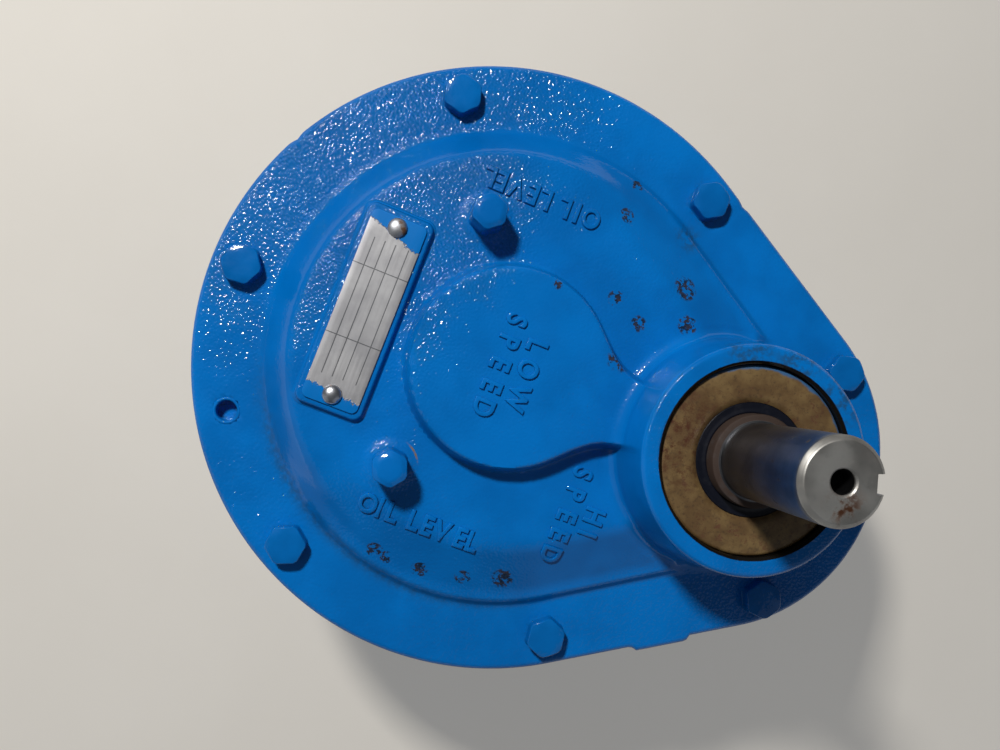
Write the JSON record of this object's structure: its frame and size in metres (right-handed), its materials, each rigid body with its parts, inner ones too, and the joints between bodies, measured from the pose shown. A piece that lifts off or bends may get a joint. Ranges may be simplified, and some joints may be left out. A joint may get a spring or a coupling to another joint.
{
  "type": "helical gear reducer",
  "caption": "Parallel-shaft helical gear reducer: pear-shaped cast case and cover, high-speed shaft in front, low-speed shaft out of the rear flange.",
  "frame": {"origin": "low-speed shaft axis, in the rear mounting face of the case", "axes": "+Z along both shafts towards the high-speed extension, +X from the low-speed axis to the high-speed axis"},
  "size_m": [0.2919, 0.2442, 0.2386],
  "materials": {
    "painted_casting": "thick glossy enamel over sand-cast iron",
    "painted_steel": "glossy enamel over hex-head steel",
    "gasket_paper": "oil-soaked fibre sheet",
    "plate_aluminium": "satin, partly over-painted",
    "plated_steel": "zinc plated",
    "shaft_steel": "turned and ground, lightly rusted",
    "gear_steel": "hobbed, oiled",
    "seal_case_steel": "tan coated pressing with rust",
    "seal_rubber": "moulded nitrile",
    "spring_steel": "black phosphate",
    "bearing_steel": "ground",
    "cage_brass": "pressed"
  },
  "bodies": {
    "housing": {"gear_case": "painted_casting", "case_cover": "painted_casting", "cover_gasket": "gasket_paper", "cover_bolts": "painted_steel", "cover_dowels": "plated_steel", "oil_level_plugs": "painted_steel", "drain_plug": "painted_steel", "breather_body": "plated_steel", "breather_cap": "plated_steel", "name_plate": "plate_aluminium", "name_plate_screws": "plated_steel", "hs_front_outer_race": "bearing_steel", "hs_rear_outer_race": "bearing_steel", "hs_housing_snap_ring": "spring_steel", "hs_seal_case": "seal_case_steel", "hs_seal_lip": "seal_rubber", "hs_seal_spring": "spring_steel", "ls_front_outer_race": "bearing_steel", "ls_rear_outer_race": "bearing_steel", "ls_preload_washer": "spring_steel", "ls_seal_case": "seal_case_steel", "ls_seal_lip": "seal_rubber", "ls_seal_spring": "spring_steel"},
    "high_speed_shaft": {"hs_pinion_shaft": "shaft_steel", "hs_front_inner_race": "bearing_steel", "hs_rear_inner_race": "bearing_steel", "hs_shaft_snap_ring": "spring_steel"},
    "low_speed_shaft": {"ls_shaft": "shaft_steel", "ls_gear": "gear_steel", "ls_gear_key": "gear_steel", "ls_gear_spacer": "gear_steel", "ls_front_inner_race": "bearing_steel", "ls_rear_inner_race": "bearing_steel"},
    "hs_front_cage_set": {"hs_front_balls": "bearing_steel", "hs_front_cage": "cage_brass"},
    "hs_rear_cage_set": {"hs_rear_balls": "bearing_steel", "hs_rear_cage": "cage_brass"},
    "ls_front_cage_set": {"ls_front_balls": "bearing_steel", "ls_front_cage": "cage_brass"},
    "ls_rear_cage_set": {"ls_rear_balls": "bearing_steel", "ls_rear_cage": "cage_brass"}
  },
  "joints": [
    {"name": "ls_spin", "type": "hinge", "parent": "housing", "child": "low_speed_shaft", "pos_m": [0, 0, 0], "axis": [0, 0, 1], "continuous": true},
    {"name": "hs_spin", "type": "hinge", "parent": "housing", "child": "high_speed_shaft", "pos_m": [0.09525, 0, 0], "axis": [0, 0, 1], "continuous": true},
    {"name": "hs_front_cage_spin", "type": "hinge", "parent": "housing", "child": "hs_front_cage_set", "pos_m": [0.09525, 0, 0], "axis": [0, 0, 1], "continuous": true},
    {"name": "hs_rear_cage_spin", "type": "hinge", "parent": "housing", "child": "hs_rear_cage_set", "pos_m": [0.09525, 0, 0], "axis": [0, 0, 1], "continuous": true},
    {"name": "ls_front_cage_spin", "type": "hinge", "parent": "housing", "child": "ls_front_cage_set", "pos_m": [0, 0, 0], "axis": [0, 0, 1], "continuous": true},
    {"name": "ls_rear_cage_spin", "type": "hinge", "parent": "housing", "child": "ls_rear_cage_set", "pos_m": [0, 0, 0], "axis": [0, 0, 1], "continuous": true}
  ],
  "couplings": [
    {"joint": "hs_spin", "follows": "ls_spin", "ratio": -4.1875},
    {"joint": "hs_front_cage_spin", "follows": "ls_spin", "ratio": -1.6593},
    {"joint": "hs_rear_cage_spin", "follows": "ls_spin", "ratio": -1.6602},
    {"joint": "ls_front_cage_spin", "follows": "ls_spin", "ratio": 0.39647},
    {"joint": "ls_rear_cage_spin", "follows": "ls_spin", "ratio": 0.4}
  ]
}
